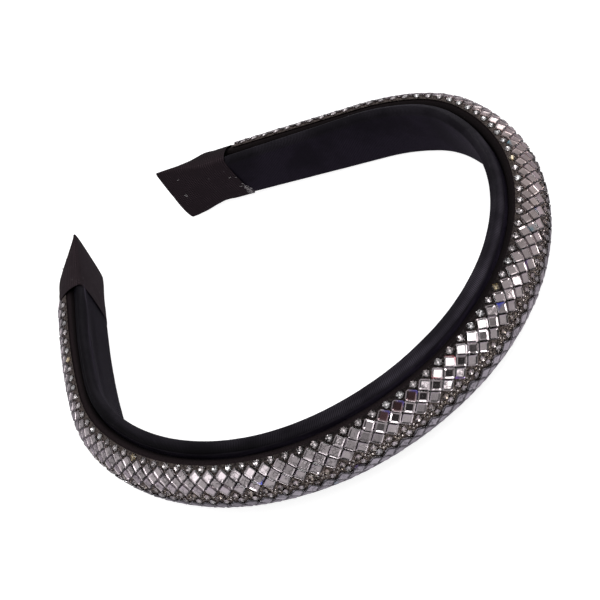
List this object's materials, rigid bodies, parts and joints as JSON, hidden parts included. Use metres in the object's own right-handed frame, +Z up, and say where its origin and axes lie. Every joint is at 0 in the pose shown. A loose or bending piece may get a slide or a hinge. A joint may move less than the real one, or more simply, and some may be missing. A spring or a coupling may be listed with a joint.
{
  "type": "embellished headband",
  "caption": "Padded satin headband with tips turned in, its outer face covered by two trims of square and round cut stones between ribbon-wrapped ends.",
  "frame": {"origin": "under the middle of the outline, on the surface that the headband lies on", "axes": "+Z up from that surface, -Y towards the crown, +Y towards the two tips, +X towards the right side seen from above with the crown nearest"},
  "size_m": [0.1478, 0.1541, 0.022],
  "materials": {
    "satin": "black satin with a soft sheen",
    "pad_cloth": "dark brown matt cloth",
    "stones": "foil-backed cut glass, silver grey with a pinkish tint",
    "ribbon": "black-brown grosgrain ribbon"
  },
  "bodies": {
    "root": {"satin_band": "satin", "padded_cover": "pad_cloth", "upper_stone_trim": "stones", "lower_stone_trim": "stones", "left_end_wrap": "ribbon", "right_end_wrap": "ribbon"}
  },
  "joints": []
}
